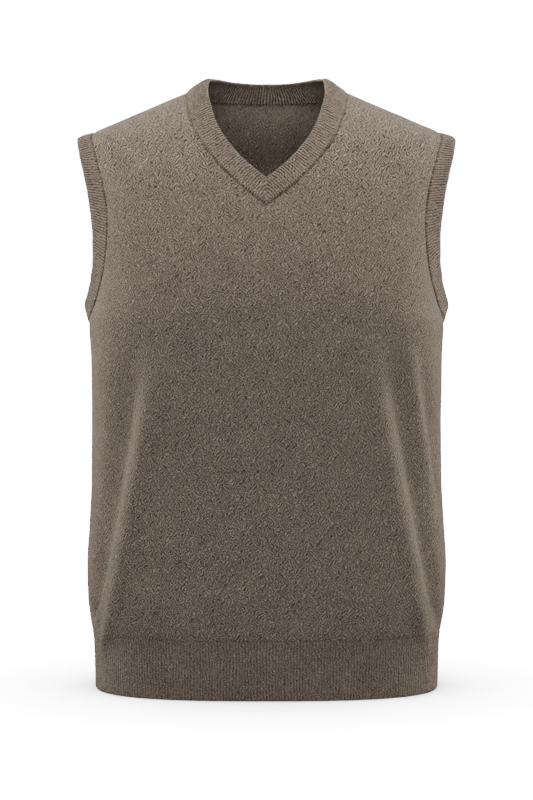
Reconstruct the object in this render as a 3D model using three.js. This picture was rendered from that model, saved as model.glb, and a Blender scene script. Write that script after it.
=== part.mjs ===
// A knitted V-neck sweater vest, filled out and hollow, as if an unseen wearer stood in it.
// Millimetres. +Z is up, the front faces -Y, and the wearer's left is +X.
// The origin lies midway between the two high shoulder points, where the shoulder seams meet the neck band.
import * as THREE from 'three';

const SEAM_GAP = 0.3; // between two pieces that are linked together
const JERSEY_THICKNESS = 2.0; // plain knit of the front and the back
const NECK_THICKNESS = 3.2; // rib, folded double
const ARMHOLE_THICKNESS = 3.0;
const HEM_THICKNESS = 2.6;
const RIB_PITCH = 3.2; // from one rib to the next, 1x1 rib at 12 gauge
const RIB_HEIGHT = 0.9; // ridge over furrow

const HEM_BOTTOM = -660.5; // so the body is 660 long from the high shoulder point
const HEM_TOP = -598;
const UNDERARM = -259;
const SHOULDER = { neck: 89, tipX: 193, tipZ: -45 }; // the shoulder seam, a straight slope

// Level sections of the body, from the shoulder down. Each is an oval of half width `half`, reaching `front`
// forward and `back` behind the side seam, and squarer as `square` grows from 2, an ellipse.
const BODY = [
  { z: 0, half: SHOULDER.neck, front: 34, back: 68, square: 1.95 },
  { z: -22, half: 140, front: 54, back: 80, square: 1.9 },
  { z: -37, half: 174.5, front: 65, back: 88, square: 1.9 },
  { z: SHOULDER.tipZ, half: SHOULDER.tipX - 0.8, front: 70, back: 92, square: 1.93 },
  { z: -52, half: 200.2, front: 75, back: 95.5, square: 1.98 },
  { z: -60, half: 203.6, front: 79.5, back: 99, square: 2.05 },
  { z: -83, half: 205, front: 90, back: 106, square: 2.2 },
  { z: -108, half: 203, front: 99, back: 112, square: 2.3 },
  { z: -138, half: 198, front: 108, back: 117, square: 2.45 },
  { z: -173, half: 194, front: 118, back: 120, square: 2.55 },
  { z: -210, half: 191.5, front: 126, back: 121, square: 2.6 },
  { z: -238, half: 193, front: 129.5, back: 120, square: 2.6 },
  { z: -259, half: 197.5, front: 130, back: 119, square: 2.6 },
  { z: -298, half: 195.4, front: 129, back: 116, square: 2.6 },
  { z: -358, half: 194.6, front: 127.5, back: 111, square: 2.6 },
  { z: -432, half: 195, front: 127, back: 109, square: 2.6 },
  { z: -485, half: 197.6, front: 128.5, back: 112, square: 2.6 },
  { z: -525, half: 199.8, front: 131.5, back: 116, square: 2.6 },
  { z: -560, half: 198.6, front: 134.5, back: 120, square: 2.65 },
  { z: -588, half: 194.8, front: 134, back: 119.5, square: 2.7 },
  { z: HEM_TOP, half: 191.5, front: 132.5, back: 118, square: 2.7 },
  { z: -606, half: 189.2, front: 131.5, back: 117, square: 2.7 },
  { z: HEM_BOTTOM, half: 186.8, front: 131, back: 116, square: 2.7 },
];

// The armhole seam is an egg seen from the side, blunt at the bottom. `egg` moves its fullest part down.
const ARMHOLE = { top: SHOULDER.tipZ, bottom: UNDERARM, front: 67, back: 67, egg: 0.25 };
// The free edge of the armhole band: an egg too, and how far out it stands at each height.
const ARMHOLE_EDGE = { top: -50.6, bottom: -235, front: 47, back: 50, egg: 0.2 };
const ARMHOLE_EDGE_OUT = [
  { z: -50.6, x: 212.2 },
  { z: -75, x: 206.3 },
  { z: -98, x: 200.8 },
  { z: -120, x: 196.2 },
  { z: -143, x: 192.8 },
  { z: -165, x: 191 },
  { z: -188, x: 191.2 },
  { z: -210, x: 194.3 },
  { z: -226, x: 199.6 },
  { z: -235, x: 204.2 },
];
// The V neckline's seam and the band's free edge, each falling from the side of the neck to the point.
const NECKLINE = { depth: 136.4, half: SHOULDER.neck, curve: 2.12, backDrop: 1.5 };
const NECK_EDGE = { top: 16, depth: 121.5, half: 66, curve: 2.5, point: 96.5, forward: 0.62 };
const NECK_EDGE_BACK = { reach: 60, rise: 4 };
const NECK_BAND_WIDTH = 24.5;
const NECK_BAND_CROWN = 0.8; // how far its middle stands above its edges

// Soft folds of the body, as seen from the front or the back: each a line from (xTop, zTop) to
// (xBottom, zBottom), `bow` aside at its middle, pushed out by `depth`, or in where that is negative,
// and `width` wide to each side.
const FOLDS = [
  { face: 'front', xTop: -133, zTop: -285, xBottom: -176, zBottom: -585, bow: -3, depth: 4.5, width: 15 },
  { face: 'front', xTop: -158, zTop: -300, xBottom: -189, zBottom: -520, bow: 0, depth: -6, width: 13 },
  { face: 'front', xTop: -88, zTop: -330, xBottom: -140, zBottom: -570, bow: 6, depth: -3.5, width: 26 },
  { face: 'front', xTop: 128, zTop: -290, xBottom: 180, zBottom: -590, bow: 4, depth: 4.5, width: 14 },
  { face: 'front', xTop: 156, zTop: -300, xBottom: 187, zBottom: -540, bow: 2, depth: -6, width: 12 },
  { face: 'front', xTop: 92, zTop: -350, xBottom: 134, zBottom: -575, bow: -5, depth: -3.5, width: 26 },
  { face: 'back', xTop: -128, zTop: -300, xBottom: -170, zBottom: -580, bow: -3, depth: 4.5, width: 16 },
  { face: 'back', xTop: -152, zTop: -320, xBottom: -186, zBottom: -530, bow: 0, depth: -5, width: 13 },
  { face: 'back', xTop: 135, zTop: -310, xBottom: 176, zBottom: -585, bow: 3, depth: 4, width: 15 },
  { face: 'back', xTop: 158, zTop: -330, xBottom: 188, zBottom: -550, bow: 0, depth: -5, width: 12 },
  { face: 'back', xTop: -20, zTop: -380, xBottom: -44, zBottom: -575, bow: 4, depth: 3, width: 30 },
];

const SIDE_ROWS = 12; // rows of the grid from the hem rib to the underarm
const LOWER_ARMHOLE_ROWS = 7; // from the underarm to the level of the V's point
const UPPER_ARMHOLE_ROWS = 9; // from there to the shoulder
const BACK_NECK_ROWS = 8; // of those from the underarm up, the ones that start at the back neckline
const FRONT_COLUMNS = 15; // from the middle to the side
const BACK_COLUMNS = 12;
const CHEST_LEVEL = -274; // where the row that meets the underarm crosses the middle of a panel

const HALF_PI = Math.PI / 2;
const KNIT_COLOUR = 0x85776a;
const RIB_COLOUR = 0x7a6c60;

const mix = THREE.MathUtils.lerp;
const range = (count) => Array.from({ length: count }, (_, i) => i);
const clamp01 = (value) => THREE.MathUtils.clamp(value, 0, 1);

// Slope of a table's column at a row, kept from overshooting.
function slopeAt(rows, i, column) {
  const slope = (a, b) => (rows[b][column] - rows[a][column]) / (rows[b].z - rows[a].z);
  if (i === 0) return slope(0, 1);
  if (i === rows.length - 1) return slope(i - 1, i);
  const [above, below] = [slope(i - 1, i), slope(i, i + 1)];
  return above * below <= 0 ? 0 : (2 * above * below) / (above + below);
}

// A table's columns at height z, on smooth curves through its rows.
function tableAt(rows, columns, z) {
  let i = 0;
  while (i < rows.length - 2 && z < rows[i + 1].z) i += 1;
  const [a, b] = [rows[i], rows[i + 1]];
  const span = b.z - a.z;
  const t = (z - a.z) / span;
  const [t2, t3] = [t * t, t * t * t];
  return Object.fromEntries(columns.map((column) => {
    const [from, to] = [slopeAt(rows, i, column) * span, slopeAt(rows, i + 1, column) * span];
    if (t > 1) return [column, b[column] + to * (t - 1)];
    if (t < 0) return [column, a[column] + from * t];
    const ends = (2 * t3 - 3 * t2 + 1) * a[column] + (3 * t2 - 2 * t3) * b[column];
    return [column, ends + (t3 - 2 * t2 + t) * from + (t3 - t2) * to];
  }));
}

const sectionAt = (z) => tableAt(BODY, ['half', 'front', 'back', 'square'], z);

// A point of the body's outer skin. Turn 0 is the front middle, a quarter turn the wearer's left side.
function skin(turn, z) {
  const { half, front, back, square } = sectionAt(z);
  const [across, ahead] = [Math.sin(turn), Math.cos(turn)];
  const reach = (Math.abs(across) ** square + Math.abs(ahead) ** square) ** (1 / square);
  const depth = ahead > 0 ? front : back;
  return new THREE.Vector3((half * across) / reach, (-depth * ahead) / reach, z);
}

function skinNormal(turn, z) {
  const [turnStep, rise] = [0.01, 1];
  const along = skin(turn + turnStep, z).sub(skin(turn - turnStep, z));
  const up = skin(turn, z + rise).sub(skin(turn, z - rise));
  return along.cross(up).normalize();
}

// The turn of the skin point with this x on the front, or with this depth y on the left side.
function turnAtX(x, z) {
  const { half, square } = sectionAt(z);
  const share = Math.min(x / half, 1);
  return Math.atan2(share, (1 - share ** square) ** (1 / square));
}

function turnAtDepth(y, z) {
  const { front, back, square } = sectionAt(z);
  const share = Math.abs(y) / (y < 0 ? front : back);
  const turn = Math.atan2((1 - share ** square) ** (1 / square), share);
  return y < 0 ? turn : Math.PI - turn;
}

function foldDepth(point) {
  let depth = 0;
  for (const fold of FOLDS) {
    const t = (point.z - fold.zTop) / (fold.zBottom - fold.zTop);
    if (t <= 0 || t >= 1) continue;
    const x = mix(fold.xTop, fold.xBottom, t) + fold.bow * Math.sin(Math.PI * t);
    const { half, front, back, square } = sectionAt(point.z);
    const ahead = (1 - Math.min(Math.abs(x) / half, 1) ** square) ** (1 / square);
    const y = fold.face === 'front' ? -front * ahead : back * ahead;
    const away = Math.hypot(point.x - x, point.y - y) / fold.width;
    depth += fold.depth * Math.sin(Math.PI * t) ** 0.8 * Math.exp(-away * away);
  }
  return depth;
}

// A skin point with the folds in it.
function clothPoint(turn, z) {
  const point = skin(turn, z);
  return point.addScaledVector(skinNormal(turn, z), foldDepth(point));
}

// Around the armhole: phase 0 is the shoulder tip and pi the underarm.
// `side` is -1 for the front and 1 for the back.
function armholeSeam(phase, side) {
  const z = mix(ARMHOLE.top, ARMHOLE.bottom, (1 - Math.cos(phase)) / 2);
  const reach = side < 0 ? ARMHOLE.front : ARMHOLE.back;
  const y = side * reach * Math.sin(phase) * (1 - ARMHOLE.egg * Math.cos(phase));
  const turn = Math.abs(y) < 1e-6 ? HALF_PI : turnAtDepth(y, z);
  return { turn, z };
}

function armholeEdge(phase, side) {
  const z = mix(ARMHOLE_EDGE.top, ARMHOLE_EDGE.bottom, (1 - Math.cos(phase)) / 2);
  const reach = side < 0 ? ARMHOLE_EDGE.front : ARMHOLE_EDGE.back;
  const y = side * reach * Math.sin(phase) * (1 - ARMHOLE_EDGE.egg * Math.cos(phase));
  return new THREE.Vector3(tableAt(ARMHOLE_EDGE_OUT, ['x'], z).x, y, z);
}

// Down the V: fall 0 is the high shoulder point and 1 the point of the V.
function necklineSeam(fall) {
  const z = -NECKLINE.depth * fall;
  return { turn: turnAtX(NECKLINE.half * (1 - fall ** NECKLINE.curve), z), z };
}

// The back neckline: share 0 is the middle of the back and 1 the high shoulder point.
function backNeckline(share) {
  return { turn: mix(Math.PI, HALF_PI, share), z: -NECKLINE.backDrop * (1 - share) };
}

function neckEdgeFront(fall) {
  const x = NECK_EDGE.half * (1 - fall ** NECK_EDGE.curve);
  const y = -NECK_EDGE.point * fall ** NECK_EDGE.forward;
  return new THREE.Vector3(x, y, NECK_EDGE.top - NECK_EDGE.depth * fall);
}

function neckEdgeBack(share) {
  const angle = share * HALF_PI;
  const z = NECK_EDGE.top + NECK_EDGE_BACK.rise * Math.sin(angle);
  return new THREE.Vector3(NECK_EDGE.half * Math.cos(angle), NECK_EDGE_BACK.reach * Math.sin(angle), z);
}

// Shares 0 to 1 along a curve, `count` equal steps by length, as parameters of that curve.
function equalSteps(curve, from, to, count) {
  const samples = 400;
  const fine = range(samples + 1).map((i) => mix(from, to, i / samples));
  const points = fine.map(curve);
  const run = [0];
  for (let i = 1; i < points.length; i += 1) run.push(run[i - 1] + points[i].distanceTo(points[i - 1]));
  return range(count + 1).map((k) => {
    const goal = (run[run.length - 1] * k) / count;
    const i = Math.max(1, run.findIndex((length) => length >= goal - 1e-9));
    return mix(fine[i - 1], fine[i], clamp01((goal - run[i - 1]) / (run[i] - run[i - 1])));
  });
}

// The neckline's steps from the V's point up to the shoulder. The first is as long as the mitre is deep.
function necklineFalls() {
  const seamPoint = (fall) => skin(necklineSeam(fall).turn, necklineSeam(fall).z);
  const tip = seamPoint(1);
  const mitre = Math.sqrt(tip.distanceTo(neckEdgeFront(1)) ** 2 - NECK_BAND_WIDTH ** 2);
  const step = 0.0005;
  let first = 1;
  while (seamPoint(first).distanceTo(tip) < mitre) first -= step;
  return [1, ...equalSteps(seamPoint, first, 0, UPPER_ARMHOLE_ROWS - 1)];
}

// Columns crowd where the side folds are. Share 0 is the middle of a panel and 1 its side.
function columnShare(i, count) {
  const share = i / count;
  return share + 0.05 * Math.sin(2 * Math.PI * share) + 0.02 * Math.sin(Math.PI * share);
}

// The rows of half a panel, from the hem rib up to the underarm. Each starts at the middle of the panel and
// ends at the side seam, and they lie closer towards the hem.
function sideRows(middleTurn) {
  return range(SIDE_ROWS + 1).map((i) => {
    const share = (i / SIDE_ROWS) ** 1.15;
    const start = { turn: middleTurn, z: mix(HEM_TOP, CHEST_LEVEL, share) };
    return { start, end: { turn: HALF_PI, z: mix(HEM_TOP, UNDERARM, share) } };
  });
}

// The front's rows go on from the underarm to the shoulder: from the middle, and then from the neckline.
function frontRows() {
  const rows = sideRows(0);
  const count = LOWER_ARMHOLE_ROWS + UPPER_ARMHOLE_ROWS;
  const falls = necklineFalls();
  for (const i of range(count)) {
    const z = mix(CHEST_LEVEL, -NECKLINE.depth, (i + 1) / LOWER_ARMHOLE_ROWS);
    const onNeckline = i >= LOWER_ARMHOLE_ROWS;
    const start = onNeckline ? necklineSeam(falls[i + 1 - LOWER_ARMHOLE_ROWS]) : { turn: 0, z };
    rows.push({ start, end: armholeSeam(Math.PI * (1 - (i + 1) / count), -1) });
  }
  return rows;
}

function backRows() {
  const rows = sideRows(Math.PI);
  const count = LOWER_ARMHOLE_ROWS + UPPER_ARMHOLE_ROWS;
  const middleRows = count - BACK_NECK_ROWS;
  for (const i of range(count)) {
    const z = mix(CHEST_LEVEL, -NECKLINE.backDrop, (i + 1) / middleRows);
    const onNeckline = i >= middleRows;
    const start = onNeckline ? backNeckline((i + 1 - middleRows) / BACK_NECK_ROWS) : { turn: Math.PI, z };
    rows.push({ start, end: armholeSeam(Math.PI * (1 - (i + 1) / count), 1) });
  }
  return rows;
}

function rowPlace(row, share) {
  return { turn: mix(row.start.turn, row.end.turn, share), z: mix(row.start.z, row.end.z, share) };
}

// A closed solid from points and triangles, with coinciding points made one and empty triangles dropped.
function solid(points, triangles) {
  const seen = new Map();
  const position = [];
  const index = points.map((point) => {
    const key = point.toArray().map((value) => value.toFixed(4)).join();
    if (!seen.has(key)) {
      seen.set(key, seen.size);
      position.push(...point.toArray());
    }
    return seen.get(key);
  });
  const faces = triangles.map((corners) => corners.map((corner) => index[corner]));
  const kept = faces.filter(([a, b, c]) => a !== b && b !== c && c !== a);
  const geometry = new THREE.BufferGeometry();
  geometry.setAttribute('position', new THREE.Float32BufferAttribute(position, 3));
  geometry.setIndex(kept.flat());
  geometry.computeVertexNormals();
  return geometry;
}

// Half panels joined down the middle: a sheet of points, their outward normals and its triangles.
function panelSheet(rows, columns) {
  const sheet = { points: [], normals: [], triangles: [] };
  const seen = new Map();
  const cornerAt = (place, side) => {
    const turn = place.turn * side;
    const direction = [Math.cos(turn), Math.sin(turn), place.z];
    const key = direction.map((value) => Math.round(value * 1e5)).join().replaceAll('-0,', '0,');
    if (!seen.has(key)) {
      seen.set(key, sheet.points.length);
      sheet.points.push(clothPoint(turn, place.z));
      sheet.normals.push(skinNormal(turn, place.z));
    }
    return seen.get(key);
  };
  const addTriangle = (a, b, c) => {
    const [pa, pb, pc] = [a, b, c].map((corner) => sheet.points[corner]);
    const facing = pb.clone().sub(pa).cross(pc.clone().sub(pa)).dot(sheet.normals[a]);
    sheet.triangles.push(facing > 0 ? [a, b, c] : [a, c, b]);
  };
  for (const side of [1, -1]) {
    for (const i of range(rows.length - 1)) {
      for (const j of range(columns)) {
        const shares = [columnShare(j, columns), columnShare(j + 1, columns)];
        const [a, b] = shares.map((share) => cornerAt(rowPlace(rows[i], share), side));
        const [d, c] = shares.map((share) => cornerAt(rowPlace(rows[i + 1], share), side));
        addTriangle(a, b, c);
        addTriangle(a, c, d);
      }
    }
  }
  return sheet;
}

// The directed edges of a sheet that only one triangle has.
function borderOf(triangles) {
  const edges = new Map();
  for (const [a, b, c] of triangles) {
    for (const [from, to] of [[a, b], [b, c], [c, a]]) edges.set(`${from},${to}`, [from, to]);
  }
  return [...edges.values()].filter(([from, to]) => !edges.has(`${to},${from}`));
}

// Draws a sheet's border in from its seam lines by half a seam gap.
function drawInBorder(sheet) {
  const border = borderOf(sheet.triangles);
  const inward = new Map();
  for (const [from, to] of border) {
    const along = sheet.points[to].clone().sub(sheet.points[from]).normalize();
    const aside = sheet.normals[from].clone().cross(along).normalize();
    for (const corner of [from, to]) inward.set(corner, [...(inward.get(corner) ?? []), aside]);
  }
  for (const [corner, [one, two]] of inward) {
    const shift = one.clone().add(two).divideScalar(1 + one.dot(two));
    sheet.points[corner].addScaledVector(shift, SEAM_GAP / 2);
  }
  return border;
}

// A wall of even thickness behind a sheet of outer points.
function panelWall(rows, columns) {
  const sheet = panelSheet(rows, columns);
  const border = drawInBorder(sheet);
  const count = sheet.points.length;
  const inner = sheet.points.map((point, i) => (
    point.clone().addScaledVector(sheet.normals[i], -JERSEY_THICKNESS)
  ));
  const triangles = [...sheet.triangles];
  for (const [a, b, c] of sheet.triangles) triangles.push([a + count, c + count, b + count]);
  for (const [a, b] of border) triangles.push([b, a, a + count], [b, a + count, b + count]);
  return solid([...sheet.points, ...inner], triangles);
}

// A band of rib. Each section holds points across the band, their normals and the share of the rib's height
// that each gets. Between two sections the outer points rise to a ridge and fall to a furrow, over and over,
// and the inside is plain.
function ribbedWall(sections, thickness, closed) {
  const rows = sections[0].points.length;
  const spans = closed ? sections.length : sections.length - 1;
  const points = [];
  const triangles = [];
  const put = (point) => points.push(point) - 1;
  const inner = sections.map(({ points: across, normals }) => across.map(
    (point, r) => put(point.clone().addScaledVector(normals[r], -thickness)),
  ));
  const runAt = (a, b, r) => a.points[r].distanceTo(b.points[r]);
  const runOf = (a, b) => (runAt(a, b, 0) + runAt(a, b, rows - 1)) / 2;
  const outerAt = (a, b, share, raised) => range(rows).map((r) => {
    const normal = a.normals[r].clone().lerp(b.normals[r], share).normalize();
    const lift = (raised ? RIB_HEIGHT : 0) * a.ribs[r];
    return put(a.points[r].clone().lerp(b.points[r], share).addScaledVector(normal, lift));
  });
  const starts = sections.map((section) => outerAt(section, section, 0, false));
  for (const k of range(spans)) {
    const next = (k + 1) % sections.length;
    const pair = [sections[k], sections[next]];
    const steps = 2 * Math.max(1, Math.round(runOf(...pair) / RIB_PITCH));
    const between = range(steps - 1).map((i) => outerAt(...pair, (i + 1) / steps, i % 2 === 0));
    const columns = [starts[k], ...between, starts[next]];
    for (const r of range(rows - 1)) {
      for (const c of range(steps)) {
        const [a, b, d, e] = [columns[c][r], columns[c + 1][r], columns[c + 1][r + 1], columns[c][r + 1]];
        triangles.push([a, b, d], [a, d, e]);
      }
      const [a, b, d, e] = [inner[k][r], inner[next][r], inner[next][r + 1], inner[k][r + 1]];
      triangles.push([a, d, b], [a, e, d]);
    }
    const middle = steps / 2;
    for (const [r, flip] of [[0, false], [rows - 1, true]]) {
      const edge = columns.map((column) => column[r]);
      const [a, b] = [inner[k][r], inner[next][r]];
      const strip = [[edge[middle], a, b]];
      for (const c of range(steps)) strip.push([edge[c + 1], edge[c], c < middle ? a : b]);
      triangles.push(...strip.map(([p, q, s]) => (flip ? [q, p, s] : [p, q, s])));
    }
  }
  for (const [k, flip] of closed ? [] : [[0, false], [sections.length - 1, true]]) {
    for (const r of range(rows - 1)) {
      const [a, b, d, e] = [starts[k][r], starts[k][r + 1], inner[k][r + 1], inner[k][r]];
      triangles.push(...(flip ? [[b, a, d], [a, e, d]] : [[a, b, d], [a, d, e]]));
    }
  }
  return solid(points, triangles);
}

// Sections of a band from its seam to its free edge, `crown` higher in the middle. The normals are the
// skin's at the seam, and square to the band at its edge.
function bandSections(seams, edges, closed, crown) {
  const count = seams.length;
  const nearest = (i) => THREE.MathUtils.clamp(i, 0, count - 1);
  const neighbour = (list, i) => list[closed ? (i + count) % count : nearest(i)];
  return seams.map((seam, i) => {
    const across = edges[i].clone().sub(seam.point);
    const start = seam.point.clone().addScaledVector(across.clone().normalize(), SEAM_GAP / 2);
    const along = neighbour(edges, i + 1).clone().sub(neighbour(edges, i - 1));
    // At the point of the mitre the section has no width, so it turns as its neighbour does.
    const beside = i === 0 ? 1 : count - 2;
    const wide = across.length() > 1 ? across : edges[beside].clone().sub(seams[beside].point);
    const edgeNormal = along.cross(wide).normalize();
    if (edgeNormal.dot(seam.normal) < 0) edgeNormal.negate();
    const middleNormal = edgeNormal.clone().add(seam.normal).normalize();
    const [outer, ends] = [[start, edges[i].clone()], [seam.normal, edgeNormal]];
    if (crown === 0) return { points: outer, normals: ends, ribs: [1, 1] };
    const height = crown * Math.min(1, across.length() / NECK_BAND_WIDTH);
    const middle = start.clone().lerp(edges[i], 0.5).addScaledVector(middleNormal, height);
    const normals = [ends[0], middleNormal, ends[1]];
    return { points: [start, middle, outer[1]], normals, ribs: [0.6, 1, 0.7] };
  });
}

const seamAt = ({ turn, z }) => ({ point: clothPoint(turn, z), normal: skinNormal(turn, z) });

// One strip from the mitre, up the wearer's left, round the back of the neck and down the right.
function neckBand() {
  const falls = necklineFalls();
  const edgeFalls = equalSteps(neckEdgeFront, 1, 0, falls.length - 2);
  const seams = falls.map((fall) => seamAt(necklineSeam(fall)));
  seams[0].point.z += SEAM_GAP; // clear of both sides of the V
  const edges = [seams[0].point.clone(), ...edgeFalls.map(neckEdgeFront)];
  for (const i of range(BACK_NECK_ROWS)) {
    const share = (i + 1) / BACK_NECK_ROWS;
    seams.push(seamAt(backNeckline(1 - share)));
    edges.push(neckEdgeBack(share));
  }
  for (const seam of [...seams].reverse().slice(1)) {
    const flip = new THREE.Vector3(-1, 1, 1);
    seams.push({ point: seam.point.clone().multiply(flip), normal: seam.normal.clone().multiply(flip) });
  }
  for (const edge of [...edges].reverse().slice(1)) edges.push(edge.clone().setX(-edge.x));
  // The two ends meet at the mitre, half a seam gap to each side of the middle.
  for (const [i, side] of [[0, 1], [1, 1], [edges.length - 2, -1], [edges.length - 1, -1]]) {
    edges[i].x = (side * SEAM_GAP) / 2;
    if (seams[i].point.x === 0) seams[i].point.x = edges[i].x;
  }
  return ribbedWall(bandSections(seams, edges, false, NECK_BAND_CROWN), NECK_THICKNESS, false);
}

function armholeBand(side) {
  const count = LOWER_ARMHOLE_ROWS + UPPER_ARMHOLE_ROWS;
  const front = range(count).map((i) => [(Math.PI * i) / count, -1]);
  const back = range(count).map((i) => [(Math.PI * (count - i)) / count, 1]);
  const round = side > 0 ? [...front, ...back] : [...back, ...front].reverse();
  const flip = new THREE.Vector3(side, 1, 1);
  const seams = round.map(([phase, face]) => seamAt(armholeSeam(phase, face)));
  for (const seam of seams) {
    seam.point.multiply(flip);
    seam.normal.multiply(flip);
  }
  const edges = round.map(([phase, face]) => armholeEdge(phase, face).multiply(flip));
  return ribbedWall(bandSections(seams, edges, true, 0), ARMHOLE_THICKNESS, true);
}

// Half the hem rib. Its columns are the panel's own, so that the two meet all along.
function hemRib(middleTurn, columns) {
  const facing = Math.cos(middleTurn);
  const sections = range(2 * columns + 1).map((i) => {
    const j = columns - i;
    const share = Math.sign(j) * columnShare(Math.abs(j), columns);
    const turn = middleTurn + share * HALF_PI;
    const levels = [HEM_TOP - SEAM_GAP / 2, HEM_BOTTOM];
    const points = levels.map((z) => skin(turn, z));
    if (Math.abs(share) === 1) for (const point of points) point.y -= (facing * SEAM_GAP) / 2;
    return { points, normals: levels.map((z) => skinNormal(turn, z)), ribs: [1, 1] };
  });
  return ribbedWall(sections, HEM_THICKNESS, false);
}

function piece(name, geometry, colour) {
  const material = new THREE.MeshStandardMaterial({ color: colour, roughness: 0.95, metalness: 0 });
  const mesh = new THREE.Mesh(geometry, material);
  mesh.name = name;
  return mesh;
}

const vest = new THREE.Group();
vest.name = 'sweater_vest';
vest.add(piece('front_panel', panelWall(frontRows(), FRONT_COLUMNS), KNIT_COLOUR));
vest.add(piece('back_panel', panelWall(backRows(), BACK_COLUMNS), KNIT_COLOUR));
vest.add(piece('neck_band', neckBand(), RIB_COLOUR));
vest.add(piece('armhole_band_left', armholeBand(1), RIB_COLOUR));
vest.add(piece('armhole_band_right', armholeBand(-1), RIB_COLOUR));
vest.add(piece('hem_rib_front', hemRib(0, FRONT_COLUMNS), RIB_COLOUR));
vest.add(piece('hem_rib_back', hemRib(Math.PI, BACK_COLUMNS), RIB_COLOUR));

export default vest;
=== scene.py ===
"""A knitted V-neck sweater vest, filled out and hollow, over a pale floor in soft studio light.

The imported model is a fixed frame. Each of its pieces is replaced by a finer shell on nearly the same curves,
with the ribs, rolled edges, linking stitches and soft folds of the real knit. Shapes are worked out in
millimetres and built in metres, +Z up, with the front facing -Y. A place on the body is a turn and a height:
turn 0 is the middle of the front, and a quarter turn is the wearer's left side.
"""
import math

import bpy
import numpy as np
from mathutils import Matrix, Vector
from mathutils.kdtree import KDTree


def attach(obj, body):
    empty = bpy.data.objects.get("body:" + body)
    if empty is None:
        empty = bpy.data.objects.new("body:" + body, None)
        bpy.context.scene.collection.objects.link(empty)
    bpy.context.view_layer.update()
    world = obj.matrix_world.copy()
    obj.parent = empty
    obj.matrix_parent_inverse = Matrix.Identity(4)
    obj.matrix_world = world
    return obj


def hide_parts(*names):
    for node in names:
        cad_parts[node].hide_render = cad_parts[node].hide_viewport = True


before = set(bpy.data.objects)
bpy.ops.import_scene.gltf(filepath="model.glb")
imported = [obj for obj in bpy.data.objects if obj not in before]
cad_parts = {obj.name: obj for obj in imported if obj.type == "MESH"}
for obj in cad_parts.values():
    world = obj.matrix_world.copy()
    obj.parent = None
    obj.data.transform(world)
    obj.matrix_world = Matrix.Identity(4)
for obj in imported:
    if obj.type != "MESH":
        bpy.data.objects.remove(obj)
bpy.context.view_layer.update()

MM = 0.001

# The knit
RIB_PITCH = 3.2
RIB_HEIGHT = 0.95  # ridge over furrow
HEM_RIB_HEIGHT = 0.6
RIB_STEPS = 6  # points from one rib to the next
RIDGE = np.array([0, 0.66, 0.93, 1, 0.93, 0.66])  # the height of a rib at its points, from a furrow on
WALE = 1.6  # a stitch's width
COURSE = 1.25  # a stitch's height
JERSEY_THICKNESS = 2.0
NECK_THICKNESS = 3.2
ARMHOLE_THICKNESS = 3.0
HEM_THICKNESS = 2.6
SEAM_DEPTH = 2.9  # the most that a band is thick at its seam
SEAM_GAP = 0.001  # linked edges all but touch, so that no light passes between them

# The body's level sections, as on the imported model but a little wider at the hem: height, half width, reach
# forward and back, and squareness, which is 2 for an ellipse.
BODY = np.array([
    (0, 89, 34, 68, 1.95),
    (-22, 140, 54, 80, 1.9),
    (-37, 174.5, 65, 88, 1.9),
    (-45, 192.2, 70, 92, 1.93),
    (-52, 200.2, 75, 95.5, 1.98),
    (-60, 203.6, 79.5, 99, 2.05),
    (-83, 205, 90, 106, 2.2),
    (-108, 203, 99, 112, 2.3),
    (-138, 198, 108, 117, 2.45),
    (-173, 194, 118, 120, 2.55),
    (-210, 191.5, 126, 121, 2.6),
    (-238, 193, 129.5, 120, 2.6),
    (-259, 197.5, 130, 119, 2.6),
    (-298, 195.4, 129, 116, 2.6),
    (-358, 194.6, 127.5, 111, 2.6),
    (-432, 195, 127, 109, 2.6),
    (-485, 197.6, 128.5, 112, 2.6),
    (-525, 199.8, 131.5, 116, 2.6),
    (-560, 198.6, 134.5, 120, 2.65),
    (-588, 194.8, 134, 119.5, 2.7),
    (-598, 193, 132.5, 118, 2.7),
    (-606, 191.6, 131.5, 117, 2.7),
    (-660.5, 189.4, 131, 116, 2.7),
])
HEM_TOP, HEM_BOTTOM, UNDERARM, SHOULDER_TIP = -598, -660.5, -259, -45
CHEST_LEVEL = -274  # where the row of points that ends at the underarm crosses the middle

# Seen from the side, the armhole's seam and its free edge are eggs. Heights, and how far out the edge is.
ARMHOLE = dict(top=SHOULDER_TIP, bottom=UNDERARM, front=67, back=67, egg=0.25)
ARMHOLE_EDGE = dict(top=-50.6, bottom=-235, front=47, back=50, egg=0.2)
ARMHOLE_EDGE_OUT = np.array([
    (-50.6, 212.2), (-75, 207.6), (-98, 202.2), (-120, 197.6), (-143, 194.2),
    (-165, 192.3), (-188, 192.3), (-210, 195.0), (-226, 199.8), (-235, 204.2),
])

# The V of the neckline and the free edge of its band. `curve` bends their sides.
NECKLINE = dict(depth=136.4, half=89, curve=2.12, back_drop=1.5)
NECK_EDGE = dict(
    top=16.8, depth=122.3, half=64.8, belly=2.0, curve=2.5, point=96.5, forward=0.62, crest=0.014,
)
NECK_EDGE_BACK = dict(reach=60, rise=3.2, swell=4.0)
NECK_BAND_WIDTH = 24.5
SIDES = (("left", 1), ("right", -1))

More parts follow.
